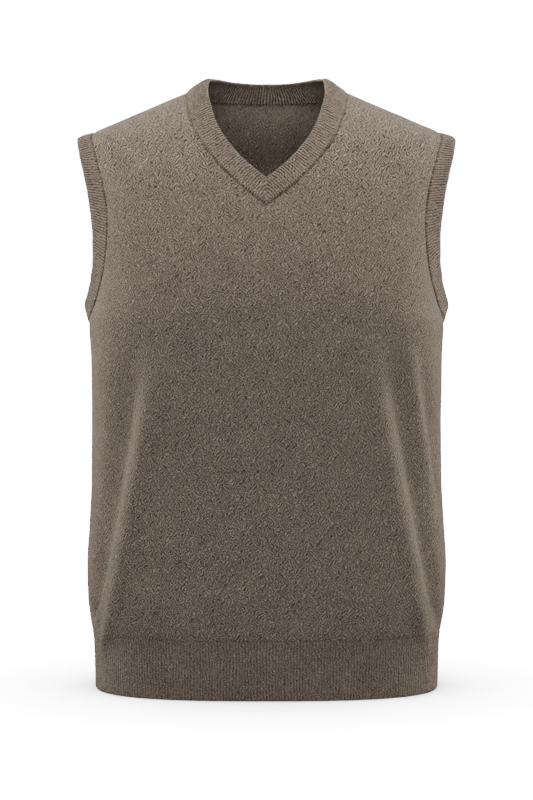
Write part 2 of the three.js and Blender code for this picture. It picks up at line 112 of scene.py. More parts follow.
# Soft folds: which face, the line's top and bottom (x, z), its bow, how far out, half widths at its top and
# bottom, how much broader its outer side is, and the shares of its length over which it rises and falls.
FOLDS = [
    ("front", -134, -250, -197, -610, 5, -9.2, 15, 7.5, 2.4, 0.36, 0.12),
    ("front", -112, -270, -182, -640, 5, 4.4, 16, 9, 1, 0.4, 0.15),
    ("front", -74, -400, -132, -590, 2, 1.6, 13, 13, 1, 0.5, 0.5),
    ("front", -60, -470, -100, -600, 0, -1.2, 16, 12, 1, 0.5, 0.5),
    ("front", 125, -250, 193, -616, -1, -8.6, 15, 9, 1.7, 0.3, 0.13),
    ("front", 104, -270, 180, -644, -3, 4.4, 17, 11, 1, 0.4, 0.2),
    ("front", 162, -262, 196, -500, 0, -5.4, 9, 6, 1.8, 0.35, 0.3),
    ("front", 64, -420, 112, -596, 3, 1.3, 15, 12, 1, 0.5, 0.5),
    ("back", -128, -300, -170, -580, -3, 4.5, 16, 16, 1, 0.5, 0.4),
    ("back", -152, -320, -186, -560, 0, -5, 13, 10, 1.5, 0.5, 0.3),
    ("back", 135, -310, 176, -585, 3, 4, 15, 15, 1, 0.5, 0.4),
    ("back", 158, -330, 188, -570, 0, -5, 12, 9, 1.5, 0.5, 0.3),
    ("back", -20, -380, -44, -575, 4, 3, 30, 30, 1, 0.5, 0.5),
]
FOLD_CLEAR = 6  # the folds die out this far in from the sides, so that they don't notch them
PUCKER_REACH = 46  # the puckers over the hem rib fade over about this height

CURVE_STEPS = 1500  # points on a curve, where it is divided into equal steps
LATTICE = 64  # cells of noise along each side
LATTICE_START = 200.5  # keeps places above 0


def slopes(z, values):
    """The slope at each row of a table, kept from overshooting."""
    step = np.diff(values) / np.diff(z)
    inner = np.where(step[:-1] * step[1:] <= 0, 0, 2 * step[:-1] * step[1:] / (step[:-1] + step[1:] + 1e-30))
    return np.concatenate([[step[0]], inner, [step[-1]]])


def smooth(table, column, z):
    """A table's column at heights z, on a smooth curve through its rows."""
    rows, values = table[:, 0], table[:, column]
    slope = slopes(rows, values)
    i = np.clip(np.searchsorted(-rows, -z, side="right") - 1, 0, len(rows) - 2)
    span = rows[i + 1] - rows[i]
    t = (z - rows[i]) / span
    t2, t3 = t * t, t * t * t
    ends = (2 * t3 - 3 * t2 + 1) * values[i] + (3 * t2 - 2 * t3) * values[i + 1]
    inside = ends + (t3 - 2 * t2 + t) * slope[i] * span + (t3 - t2) * slope[i + 1] * span
    past = values[i + 1] + slope[i + 1] * span * (t - 1)
    before = values[i] + slope[i] * span * t
    return np.where(t > 1, past, np.where(t < 0, before, inside))


def section(z):
    """Half width, reach forward and back, and squareness of the body at heights z."""
    return [smooth(BODY, column, z) for column in range(1, 5)]


def skin(turn, z):
    """Points of the body's skin."""
    half, front, back, square = section(z)
    across, ahead = np.sin(turn), np.cos(turn)
    reach = (np.abs(across) ** square + np.abs(ahead) ** square) ** (1 / square)
    depth = np.where(ahead > 0, front, back)
    return np.stack([half * across / reach, -depth * ahead / reach, z + 0 * turn], axis=-1)


def unit(vectors):
    return vectors / np.maximum(np.linalg.norm(vectors, axis=-1, keepdims=True), 1e-12)


def skin_normal(turn, z):
    along = skin(turn + 0.01, z) - skin(turn - 0.01, z)
    up = skin(turn, z + 1) - skin(turn, z - 1)
    return unit(np.cross(along, up))


def turn_at_x(x, z):
    half, _, _, square = section(z)
    share = np.minimum(x / half, 1)
    return np.arctan2(share, (1 - share ** square) ** (1 / square))


def turn_at_depth(y, z):
    _, front, back, square = section(z)
    share = np.abs(y) / np.where(y < 0, front, back)
    turn = np.arctan2((1 - share ** square) ** (1 / square), share)
    return np.where(y < 0, turn, np.pi - turn)


def ease(share):
    share = np.clip(share, 0, 1)
    return share * share * (3 - 2 * share)


def fold_depth(points):
    """How far out the folds lift the cloth at these points of the skin."""
    depth = np.zeros(points.shape[:-1])
    x0, y0, z0 = points[..., 0], points[..., 1], points[..., 2]
    half, front, back, square = section(z0)
    for face, x_top, z_top, x_bottom, z_bottom, bow, out, wide, narrow, outer, rise, fall in FOLDS:
        t = np.clip((z0 - z_top) / (z_bottom - z_top), 0, 1)
        x = x_top + (x_bottom - x_top) * t + bow * np.sin(np.pi * t)
        ahead = (1 - np.minimum(np.abs(x) / half, 1) ** square) ** (1 / square)
        y = -front * ahead if face == "front" else back * ahead
        broad = np.where(np.abs(x0) > np.abs(x), outer, 1)
        away = np.hypot(x0 - x, y0 - y) / (wide + (narrow - wide) * t) / broad
        depth += out * ease(t / rise) * ease((1 - t) / fall) * np.exp(-away * away)
    return depth * ease((half - np.abs(x0)) / FOLD_CLEAR)


def cloth(turn, z):
    """Points and outward normals of the body cloth, folds and all."""
    points, normals = skin(turn, z), skin_normal(turn, z)
    return points + normals * fold_depth(points)[..., None], normals


def egg(shape, phase, side):
    """Depth and height on an egg seen from the side, from its top at phase 0. Side -1 is its front."""
    level = np.cos(phase)
    z = shape["top"] + (shape["bottom"] - shape["top"]) * (1 - level) / 2
    reach = shape["front"] if side < 0 else shape["back"]
    return side * reach * np.sin(phase) * (1 - shape["egg"] * level), z


def armhole_seam(phase, side):
    """Turn and height of the left armhole's seam."""
    y, z = egg(ARMHOLE, phase, side)
    return np.where(np.abs(y) < 1e-6, np.pi / 2, turn_at_depth(y, z)), z


def armhole_edge(phase, side):
    """Points of the left armhole's free edge."""
    y, z = egg(ARMHOLE_EDGE, phase, side)
    return np.stack([smooth(ARMHOLE_EDGE_OUT, 1, z), y, z], axis=-1)


def neckline(fall):
    """Turn and height of the neckline's left side, from the shoulder at 0 to the point of the V at 1."""
    z = -NECKLINE["depth"] * fall
    return turn_at_x(NECKLINE["half"] * (1 - fall ** NECKLINE["curve"]), z), z


def on_neckline(fall):
    return skin(*neckline(fall))


def back_neckline(share):
    """Turn and height of the back neckline's left side, from the middle of the back to the shoulder."""
    return np.pi + (np.pi / 2 - np.pi) * share, -NECKLINE["back_drop"] * (1 - share)


def neck_edge(fall):
    """Points of the neck band's free edge, from the shoulder at 0 to the point of the V at 1."""
    half = NECK_EDGE["half"] + NECK_EDGE["belly"] * np.sin(np.pi * np.minimum(fall / 0.3, 1))
    x = half * (1 - fall ** NECK_EDGE["curve"])
    y = -NECK_EDGE["point"] * fall ** NECK_EDGE["forward"]
    crest = NECK_EDGE["crest"]
    drop = (np.hypot(fall, crest) - crest) / (math.hypot(1, crest) - crest)
    return np.stack([x, y, NECK_EDGE["top"] - NECK_EDGE["depth"] * drop], axis=-1)


def neck_edge_back(share):
    """Points of the neck band's free edge from the shoulder to the middle of the back."""
    angle = share * np.pi / 2
    z = NECK_EDGE["top"] + NECK_EDGE_BACK["rise"] * np.sin(angle)
    z += NECK_EDGE_BACK["swell"] * np.sin(2 * angle) * np.cos(angle) ** 2
    return np.stack([NECK_EDGE["half"] * np.cos(angle), NECK_EDGE_BACK["reach"] * np.sin(angle), z], axis=-1)


def run_of(points):
    """The length along a line of points, from its start to each of them."""
    return np.concatenate([[0], np.cumsum(np.linalg.norm(np.diff(points, axis=0), axis=1))])


def spaced(curve, start, end, count):
    """Parameters of a curve at equal steps of length."""
    fine = np.linspace(start, end, CURVE_STEPS)
    run = run_of(curve(fine))
    return np.interp(np.linspace(0, run[-1], count), run, fine)


# Building meshes

def place_in_scene(name, data):
    thing = bpy.data.objects.new(name, data)
    bpy.context.scene.collection.objects.link(thing)
    return thing


def new_mesh(name, points, faces, uv):
    """An object from points in millimetres, faces as index rows, and a uv in metres for each point."""
    mesh = bpy.data.meshes.new(name)
    mesh.from_pydata((points * MM).tolist(), [], [tuple(face) for face in faces])
    layer = mesh.uv_layers.new(name="knit")
    corners = np.empty(len(mesh.loops), dtype=np.int32)
    mesh.loops.foreach_get("vertex_index", corners)
    layer.data.foreach_set("uv", uv[corners].astype(np.float32).ravel())
    mesh.polygons.foreach_set("use_smooth", np.ones(len(mesh.polygons), dtype=bool))
    mesh.update()
    return place_in_scene(name, mesh)


def tube_faces(sections, around, closed=False):
    """Quads of a tube of points. The last section of a closed one meets its first."""
    i, j = np.meshgrid(np.arange(sections if closed else sections - 1), np.arange(around), indexing="ij")
    after, k = (i + 1) % sections, (j + 1) % around
    corners = [i * around + j, i * around + k, after * around + k, after * around + j]
    return np.stack(corners, axis=-1).reshape(-1, 4)


def noise(points, cell, seed):
    """Smooth noise from -1 to 1 on a lattice of such cells, in millimetres."""
    lattice = np.random.default_rng(seed).uniform(-1, 1, (LATTICE, LATTICE, LATTICE))
    place = points / np.array(cell) + LATTICE_START
    low = np.floor(place).astype(int)
    share = ease(place - low)
    total = np.zeros(points.shape[:-1])
    for corner in np.ndindex(2, 2, 2):
        weight = np.prod(np.where(np.array(corner) > 0, share, 1 - share), axis=-1)
        i, j, k = [(low[..., n] + corner[n]) % LATTICE for n in range(3)]
        total += weight * lattice[i, j, k]
    return total


def slack(points):
    """The small unevenness of a soft knit: broad ripples, and puckers that fade upwards from the hem rib."""
    above_hem = np.clip((points[..., 2] - HEM_TOP) / PUCKER_REACH, 0, 4)
    broad = 0.45 * noise(points, (34, 34, 70), 3) + 0.16 * noise(points, (13, 13, 20), 5)
    puckers = 0.85 * noise(points, (10, 10, 90), 8) * np.exp(-above_hem * above_hem)
    return (broad + puckers) * np.clip(above_hem * 12, 0, 1)


def rounding(distance, reach, drop):
    """How far a surface drops at this distance from its edge, as a quarter round."""
    inside = np.clip(1 - distance / reach, 0, 1)
    return drop * (1 - np.sqrt(np.clip(1 - inside * inside, 0, 1)))


# Where a place on the body lies on its flat knit: across from the middle, and up

LEVELS = np.linspace(0, HEM_BOTTOM, 331)
TURNS = np.linspace(0, np.pi, 721)
YOKE = -60  # above it the shoulders slope, and the knit is measured up its slope


def lengths_round():
    """The skin's length from the middle of the front, at each of LEVELS and TURNS."""
    turn, z = np.meshgrid(TURNS, LEVELS)
    ring = skin(turn, z)
    step = np.linalg.norm(np.diff(ring, axis=1), axis=-1)
    return np.concatenate([np.zeros((len(LEVELS), 1)), np.cumsum(step, axis=1)], axis=1)


ACROSS = lengths_round()


def look_up(table, turn, z):
    """A table over LEVELS and TURNS, between its entries."""
    row = np.clip((LEVELS[0] - z) / (LEVELS[0] - LEVELS[1]), 0, len(LEVELS) - 1.001)
    column = np.clip(turn / (TURNS[1] - TURNS[0]), 0, len(TURNS) - 1.001)
    i, j = row.astype(int), column.astype(int)
    a, b = row - i, column - j
    top = table[i, j] * (1 - b) + table[i, j + 1] * b
    bottom = table[i + 1, j] * (1 - b) + table[i + 1, j + 1] * b
    return top * (1 - a) + bottom * a


def flat_place(turn, z, face):
    """Metres across and up the flat knit for places on the front or the back."""
    points = skin(np.abs(turn), z)
    low = np.minimum(z, YOKE)
    same = turn_at_x(np.abs(points[..., 0]), low)
    away = np.where(z > YOKE, same, np.abs(turn) if face == "front" else np.pi - np.abs(turn))
    if face == "front":
        across = look_up(ACROSS, away, low)
    else:
        across = look_up(ACROSS, np.full_like(away, np.pi), low) - look_up(ACROSS, np.pi - away, low)
    lean = np.abs(skin(same if face == "front" else np.pi - same, low)[..., 1]) - np.abs(points[..., 1])
    up = low + np.where(z > YOKE, np.hypot(z - low, lean), 0)
    return np.stack([np.sign(turn) * across, up], axis=-1) * MM


# Panels

NEAR_EDGE = np.array([0, 0.55, 1.2, 2.0, 3.0, 4.5])  # points lie close together near a panel's edges
HALF_GIRTH, HALF_NECKLINE = 265, 170  # about how long half a row and half the V are
LOW_ROWS, CHEST_ROWS, NECK_ROWS, HALF_COLUMNS = 96, 36, 44, 62
ARMHOLE_BELOW_NECK = {"front": 7 / 16, "back": 8 / 16}  # of the armhole seam, below the neckline's rows
PANEL_ROUND = 2.6  # a panel is drawn down over this distance from its seams
PANEL_DROP, PANEL_DROP_AT_HEM = 0.6, 0.35
AT_HEM = 4  # a point this close over the hem seam is taken to be at the hem
SEAM_SHADOW, INNER_SEAM_SHADOW = 1.8, 5  # how far from a seam its painted shadow reaches
SHADOW_AT_HEM, SHADOW_BY_V, SHADOW_ELSEWHERE = 0.15, 0.9, 0.45
V_HALF_WIDTH = 125  # the seam along the V lies within this distance of the middle


def edged(length, count):
    """Shares 0 to 1 of a length, with extra steps near both its ends."""
    near = NEAR_EDGE / length
    start = near[-1] + 3 / length
    return np.concatenate([near, np.linspace(start, 1 - start, count), 1 - near[::-1]])


def panel_rows(face):
    """Start and end (turn, z) of each row of half a panel, and how many rows start in the middle."""
    middle = 0.0 if face == "front" else np.pi
    low = edged(UNDERARM - HEM_TOP, LOW_ROWS)
    neck_z = -NECKLINE["depth"] if face == "front" else -NECKLINE["back_drop"]
    start = [(middle, HEM_TOP + (CHEST_LEVEL - HEM_TOP) * share) for share in low]
    end = [(np.pi / 2, HEM_TOP + (UNDERARM - HEM_TOP) * share) for share in low]
    up_middle = np.linspace(0, 1, CHEST_ROWS)[1:]
    up_neck = edged(HALF_NECKLINE, NECK_ROWS)[1:]
    start += [(middle, CHEST_LEVEL + (neck_z - CHEST_LEVEL) * share) for share in up_middle]
    merged = len(start)
    if face == "front":
        falls = spaced(on_neckline, 1, 0, CURVE_STEPS)
        turn, z = neckline(np.interp(up_neck, np.linspace(0, 1, CURVE_STEPS), falls))
        turn[-1], z[-1] = np.pi / 2, 0
    else:
        turn, z = back_neckline(up_neck)
    start += list(zip(turn, z))
    below = ARMHOLE_BELOW_NECK[face]
    shares = np.concatenate([up_middle * below, below + (1 - below) * up_neck])
    turn, z = armhole_seam(np.pi * (1 - shares), -1 if face == "front" else 1)
    end += list(zip(turn, z))
    return np.array(start), np.array(end), merged


def border_of(quads, count):
    """The directed edges that only one quad has."""
    edges = np.concatenate([quads[:, [i, (i + 1) % 4]] for i in range(4)])
    return edges[~np.isin(edges @ (count, 1), edges @ (1, count))]


def draw_in(points, normals, border, gap):
    """Moves a sheet's border in from its seam lines by half a gap, mitred at the corners."""
    along = unit(points[border[:, 1]] - points[border[:, 0]])
    aside = unit(np.cross(normals[border[:, 0]], along))
    total, leaving, arriving = [np.zeros_like(points) for _ in range(3)]
    for corner in (0, 1):
        np.add.at(total, border[:, corner], aside)
    leaving[border[:, 0]], arriving[border[:, 1]] = aside, aside
    mitre = 1 + (leaving * arriving).sum(axis=-1)
    moved = np.unique(border)
    points[moved] += total[moved] / mitre[moved, None] * gap / 2


def nearest_distance(points, targets):
    tree = KDTree(len(targets))
    for i, target in enumerate(targets):
        tree.insert(target, i)
    tree.balance()
    return np.array([tree.find(point)[2] for point in points])


def distance_from(border, points, quads, far=99.0, rings=8):
    """How far points are from the border, within this many quads of it, and `far` elsewhere."""
    steps = np.linspace(0, 1, 7)[:-1, None, None]
    line = points[border[:, 0]] * (1 - steps) + points[border[:, 1]] * steps
    near = np.zeros(len(points), dtype=bool)
    near[np.unique(border)] = True
    for _ in range(rings):
        near[quads[near[quads].any(axis=1)]] = True
    away = np.full(len(points), far)
    away[near] = nearest_distance(points[near], line.reshape(-1, 3))
    return away


def panel(name, face):
    """The front or the back: an outer sheet, drawn down at its seams, and an inner one behind it."""
    start, end, merged = panel_rows(face)
    shares = edged(HALF_GIRTH, HALF_COLUMNS)
    half = start[:, None] + (end - start)[:, None] * shares[None, :, None]
    rows, columns = half.shape[:2]
    turn = np.concatenate([half[..., 0].ravel(), -half[..., 0].ravel()])
    z = np.concatenate([half[..., 1].ravel()] * 2)
    points, normals = cloth(turn, z)
    points += normals * slack(points)[:, None]
    index = np.arange(2 * rows * columns).reshape(2, rows, columns)
    index[1, :merged, 0] = index[0, :merged, 0]
    quads = []
    for side in (0, 1):
        grid = index[side]
        quad = np.stack([grid[:-1, :-1], grid[:-1, 1:], grid[1:, 1:], grid[1:, :-1]], axis=-1).reshape(-1, 4)
        flip = (side == 1) != (face == "back")
        quads.append(quad[:, ::-1] if flip else quad)
    used, quads = np.unique(np.concatenate(quads), return_inverse=True)
    quads = quads.reshape(-1, 4)
    points, normals, turn, z = points[used], normals[used], turn[used], z[used]
    count = len(points)
    border = border_of(quads, count)
    draw_in(points, normals, border, SEAM_GAP)
    away = distance_from(border, points, quads)
    at_hem = points[:, 2] < HEM_TOP + AT_HEM
    inner = points - normals * JERSEY_THICKNESS
    drop = rounding(away, PANEL_ROUND, np.where(at_hem, PANEL_DROP_AT_HEM, PANEL_DROP))
    points = points - normals * drop[:, None]
    place = flat_place(turn, z, face)
    a, b = border[:, 0], border[:, 1]
    faces = [quads, quads[:, ::-1] + count, np.stack([b, a, a + count, b + count], axis=-1)]
    sheets = np.concatenate([points, inner])
    piece = new_mesh(name, sheets, np.concatenate(faces), np.concatenate([place] * 2))
    # the "seam" attribute carries painted shadow beside the seams, on the outside and, broader, on the inside
    seam = piece.data.attributes.new("seam", "FLOAT", "POINT")
    by_v = (np.abs(points[:, 0]) < V_HALF_WIDTH) & (points[:, 2] < SHOULDER_TIP)
    darkest = np.where(at_hem, SHADOW_AT_HEM, np.where(by_v, SHADOW_BY_V, SHADOW_ELSEWHERE))
    shade = np.clip(1 - away / SEAM_SHADOW, 0, 1) * darkest
    under = np.clip(1 - away / INNER_SEAM_SHADOW, 0, 1)
    seam.data.foreach_set("value", np.concatenate([shade, under]).astype(np.float32))
    inside = np.zeros(len(piece.data.polygons), dtype=np.int32)
    inside[len(quads):] = 1
    piece.data.polygons.foreach_set("material_index", inside)
    return piece


# Ribbed bands

ROLL_STEPS = 7  # rows of points round a rolled edge
ROLL_RIB, INNER_RIB = 0.75, 0.45  # how high the ribs are on the rolled edge and inside, as shares of outside
BAND_ROWS = np.array([0, 0.025, 0.06, 0.11, 0.18, 0.28, 0.4, 0.52, 0.64, 0.74, 0.83, 0.92, 1])
RIM_CURL = 1.3  # how far the free edge of a band curls in
CURL_START = 0.7  # the share of a band's width where that starts
BAND_ROUND = 2.2  # a band is drawn down over this distance from its seam
BAND_DROP, HEM_DROP = 0.45, 0.5
HEM_ROWS = np.array([0, 0.5, 1.2, 2.2, 4, 7, 11, 16, 22, 28, 34, 40, 46, 51, 55.5, 58.5, 61.05])
HEM_MIDDLE = HEM_TOP - 30  # its ribs are spaced evenly at this height
MITRE_TOP = -95  # the mitre at the point of the V lies below this


def ribbed(name, outer, normals, outward, thickness, rib_height, roundness, across, closed, rib_of):
    """A band of rib from rows of points along it, the first at its seam, the last where its edge rolls over.

    `outward` points past the edge, `roundness` is 0 where the edge is cut straight, `across` says how far
    each row is from the seam, and `rib_of` gives each point along the band its count of ribs.
    """
    wobble = 0.34 * noise(outer, (11, 11, 11), 21) + 0.2 * noise(outer, (4.5, 4.5, 4.5), 22)
    phase = rib_of + wobble * np.clip(across / 5, 0, 1)
    ridges = np.interp(np.mod(phase, 1) * RIB_STEPS, np.arange(RIB_STEPS + 1), np.append(RIDGE, RIDGE[0]))
    ridges = (ridges * rib_height * (1 + 0.4 * noise(outer, (7, 7, 7), 23)))[..., None]
    seam_fade = np.clip(0.25 + across / 2.2, 0, 1)[..., None]
    loop = [outer[r] + normals[r] * (ridges[r] * seam_fade[r]) for r in range(len(outer))]
    ridge = ridges[-1]
    length = [across[r] for r in range(len(outer))]
    centre = outer[-1] - normals[-1] * thickness / 2
    for angle in np.linspace(0, np.pi, ROLL_STEPS + 2)[1:-1]:
        radial = normals[-1] * np.cos(angle) + outward * (np.sin(angle) * roundness[:, None])
        loop.append(centre + radial * (thickness / 2) + radial * ridge * ROLL_RIB)
        length.append(across[-1] + thickness / 2 * angle)
    turned = across[-1] + thickness / 2 * np.pi
    for r in range(len(outer) - 1, -1, -1):
        share = np.clip(across[r] / 6, 0, 1)[:, None]
        depth = min(thickness, SEAM_DEPTH) * (1 - share) + thickness * share
        loop.append(outer[r] - normals[r] * (depth + INNER_RIB * ridges[r] * seam_fade[r]))
        length.append(turned + across[-1] - across[r])
    points = np.stack(loop, axis=1)  # sections, points around
    sections, around = points.shape[:2]
    quads = tube_faces(sections, around, closed)
    flat = points.reshape(-1, 3)
    a, b, c, d = [flat[quads[:, k]] for k in range(4)]
    volume = (a * (np.cross(b, c) + np.cross(c, d))).sum()
    end = (sections - 1) * around
    caps = [] if closed else [list(range(around))[::-1], list(range(end, end + around))]
    if volume < 0:
        quads, caps = quads[:, ::-1], [cap[::-1] for cap in caps]
    ribs_at = np.concatenate([phase, np.repeat(phase[-1:], ROLL_STEPS, axis=0), phase[::-1]]).T
    uv = np.stack([ribs_at.ravel() * RIB_PITCH, np.stack(length, axis=1).ravel()], axis=-1) * MM
    piece = new_mesh(name, flat, [*quads.tolist(), *caps], uv)
    # the "rim" attribute marks the rolled edge for a painted highlight
    crest = np.zeros(around)
    crest[len(outer):len(outer) + ROLL_STEPS] = np.sin(np.linspace(0, np.pi, ROLL_STEPS + 2)[1:-1]) ** 2
    rim = piece.data.attributes.new("rim", "FLOAT", "POINT")
    rim.data.foreach_set("value", np.tile(crest, sections).astype(np.float32))
    return piece


def at_run(run, goals, *lists):
    """Lists of vectors read at these lengths along their run."""
    return [np.stack([np.interp(goals, run, values[:, k]) for k in range(3)], axis=-1) for values in lists]


def mean_run(*lines):
    return sum(run_of(line) for line in lines) / len(lines)


def edge_normals(edges, across, seam_normals, closed):
    if closed:
        along = np.roll(edges, -1, axis=0) - np.roll(edges, 1, axis=0)
    else:
        along = np.gradient(edges, axis=0)
    normal = unit(np.cross(along, across))
    return normal * np.sign((normal * seam_normals).sum(axis=-1, keepdims=True))


def band_rows(seam, seam_normal, edge, edge_normal, thickness, roundness, crown, proud):
    """Outer rows of a band from its seam to the start of its rolled edge, with normals and distances.

    `crown` is how far its middle swells, and `proud` how far it stands above the panel past the seam.
    """
    width = np.linalg.norm(edge - seam, axis=-1)
    out = unit(edge - seam)
    reach = np.maximum(width - thickness / 2 * roundness, 0.02)
    middle = unit(seam_normal + edge_normal)
    rows, normals, across = [], [], []
    for share in BAND_ROWS:
        first, second = np.clip(1 - 2 * share, 0, 1), np.clip(2 * share - 1, 0, 1)
        normal = unit(first * seam_normal + (1 - first - second) * middle + second * edge_normal)
        distance = SEAM_GAP / 2 + (reach - SEAM_GAP / 2).clip(0.01) * share
        height = crown * np.minimum(1, width / NECK_BAND_WIDTH) * 4 * share * (1 - share)
        raised = proud * ease(distance / 2.6) - rounding(distance, BAND_ROUND, BAND_DROP)
        height = height + raised * np.minimum(1, width / 6)
        curl = max(0, (share - CURL_START) / (1 - CURL_START)) ** 2
        height = height - RIM_CURL * np.minimum(1, width / NECK_BAND_WIDTH) * curl
        rows.append(seam + out * distance[:, None] + normal * height[:, None])
        normals.append(normal)
        across.append(distance)
    return np.array(rows), np.array(normals), out, np.array(across)


def neck_lines():
    """Seam, normals and free edge of the neck band's left half: its mitre, then its front, then its back."""
    falls = spaced(on_neckline, 1, 0, CURVE_STEPS)
    seam = on_neckline(falls)
    run = run_of(seam)
    rim = neck_edge(np.array([1.0]))[0]
    mitre = math.sqrt(((seam[0] - rim) ** 2).sum() - NECK_BAND_WIDTH ** 2)
    first = np.interp(mitre, run, falls)
    low = spaced(on_neckline, 1, first, 300)
    share = np.linspace(0, 1, 300)[:, None]
    high = spaced(on_neckline, first, 0, CURVE_STEPS)
    high[-1] = 0
    back = np.linspace(0, 1, 900)
    return [
        (*cloth(*neckline(low)), seam[0] + (rim - seam[0]) * share),
        (*cloth(*neckline(high)), neck_edge(spaced(neck_edge, 1, 0, CURVE_STEPS))),
        (*cloth(*back_neckline(1 - back)), neck_edge_back(back)),
    ]


def neck_band(name):
    mitre, front, back = neck_lines()
    runs = [run_of(mitre[0]), mean_run(front[0], front[2]), mean_run(back[0], back[2])]
    run = np.concatenate([runs[0], runs[0][-1] + runs[1][1:], runs[0][-1] + runs[1][-1] + runs[2][1:]])
    seam, seam_normal, edge = [np.concatenate([mitre[k], front[k][1:], back[k][1:]]) for k in range(3)]
    steps = round(run[-1] / RIB_PITCH) * RIB_STEPS
    goals = np.linspace(0, run[-1], steps + 1)
    goals[0] = goals[1] * 0.3  # just clear of the mitre's edge
    seam, seam_normal, edge = at_run(run, goals, seam, seam_normal, edge)
    seam_normal = unit(seam_normal)
    edge_normal = edge_normals(edge, edge - seam, seam_normal, False)
    in_mitre = goals < runs[0][-1]
    full = np.argmin(in_mitre)
    edge_normal[:full + 1] = edge_normal[full + 2]
    edge_normal[-1] = unit(edge_normal[-1] * (0, 1, 1))
    roll_share = NECK_THICKNESS / 2 / NECK_BAND_WIDTH
    through = goals / runs[0][-1]
    roundness = np.where(in_mitre, np.clip((through - 1 + roll_share) / roll_share, 0, 1) ** 0.5, 1)
    shape = dict(thickness=NECK_THICKNESS, roundness=roundness, crown=0.3, proud=0.1)
    rows, normals, out, across = band_rows(seam, seam_normal, edge, edge_normal, **shape)
    rib_of = np.arange(steps + 1) / RIB_STEPS

    def both(values, axis, flip):
        other = np.flip(values, axis=axis)
        other = other[:, 1:] if axis == 1 else other[1:]
        return np.concatenate([values, other * flip], axis=axis)

    flip = np.array([-1, 1, 1])
    rows, normals = both(rows, 1, flip), both(normals, 1, flip)
    out, across, roundness = both(out, 0, flip), both(across, 1, 1), both(roundness, 0, 1)
    rib_of = np.concatenate([rib_of, 2 * rib_of[-1] - rib_of[::-1][1:]])
    piece = ribbed(name, rows, normals, out, NECK_THICKNESS, RIB_HEIGHT, roundness, across, False, rib_of)
    keep_apart(piece)
    return piece


def keep_apart(piece):
    """Holds the two ends of the neck band half a seam gap to each side of the mitre."""
    mesh = piece.data
    points = np.empty(len(mesh.vertices) * 3)
    mesh.vertices.foreach_get("co", points)
    points = points.reshape(-1, 3)
    side = np.where(np.arange(len(points)) < len(points) / 2, 1, -1)
    low = points[:, 2] < MITRE_TOP * MM
    clear = SEAM_GAP / 2 * MM
    near = low & (points[:, 0] * side < clear)
    points[near, 0] = side[near] * clear
    mesh.vertices.foreach_set("co", points.ravel())
    mesh.update()


def armhole_lines():
    """Seam, normals and free edge of the left armhole, once round from its top."""
    down = np.linspace(0, np.pi, 1200)
    up = down[::-1][1:-1]
    seam = np.concatenate([armhole_seam(down, -1), armhole_seam(up, 1)], axis=1)
    edge = np.concatenate([armhole_edge(down, -1), armhole_edge(up, 1)])
    return *cloth(*seam), edge


def armhole_band(name, side):
    seam, normal, edge = armhole_lines()
    ring = [np.concatenate([line, line[:1]]) for line in (seam, normal, edge)]
    run = mean_run(ring[0], ring[2])
    steps = round(run[-1] / RIB_PITCH) * RIB_STEPS
    goals = np.linspace(0, run[-1], steps + 1)[:-1]
    seam, normal, edge = at_run(run, goals, *ring)
    normal = unit(normal)
    edge_normal = edge_normals(edge, edge - seam, normal, True)
    flip = np.array([side, 1, 1])
    roundness = np.ones(steps)
    shape = dict(thickness=ARMHOLE_THICKNESS, roundness=roundness, crown=0.25, proud=0)
    rows, normals, out, across = band_rows(seam, normal, edge, edge_normal, **shape)
    rib_of = np.arange(steps) / RIB_STEPS
    args = (ARMHOLE_THICKNESS, RIB_HEIGHT, roundness, across, True, rib_of)
    return ribbed(name, rows * flip, normals * flip, out * flip, *args)


def hem_rib(name, face):
    """The welt under the front or the back, straight down from its seam."""
    middle = 0 if face == "front" else np.pi
    facing = math.cos(middle)
    fine = np.linspace(-np.pi / 2, np.pi / 2, 4001)
    run = run_of(skin(middle + fine, np.full_like(fine, HEM_MIDDLE)))
    steps = round(run[-1] / RIB_PITCH) * RIB_STEPS
    turn = middle + np.interp(np.linspace(0, run[-1], steps + 1), run, fine)
    rows, normals = cloth(*np.meshgrid(turn, HEM_TOP - SEAM_GAP / 2 - HEM_ROWS))
    across = np.repeat(HEM_ROWS[:, None], len(turn), axis=1)
    uneven = 0.5 * noise(rows, (40, 40, 60), 11) * np.clip(HEM_ROWS / 20, 0, 1)[:, None]
    rows += normals * (uneven - rounding(across, BAND_ROUND, HEM_DROP))[..., None]
    for end in (0, -1):
        rows[:, end, 1] -= facing * SEAM_GAP / 2
    down = np.tile([0.0, 0, -1], (len(turn), 1))
    rib_of = np.arange(len(turn)) / RIB_STEPS
    args = (HEM_THICKNESS, HEM_RIB_HEIGHT, np.ones(len(turn)), across, False, rib_of)
    return ribbed(name, rows, normals, down, *args)


# Linking stitches

LOOP_RADIUS = 0.36
LOOP_REACH = 1.15  # half a loop's length
LOOP_TAPER = np.array([0.12, 0.85, 1, 0.85, 0.12])
LOOP_SINK, LOOP_ARCH = 0.62, 0.28  # how deep its ends lie, and how far its middle stands over them
LINKING_PITCH, SIDE_PITCH = 1.6, 2.5


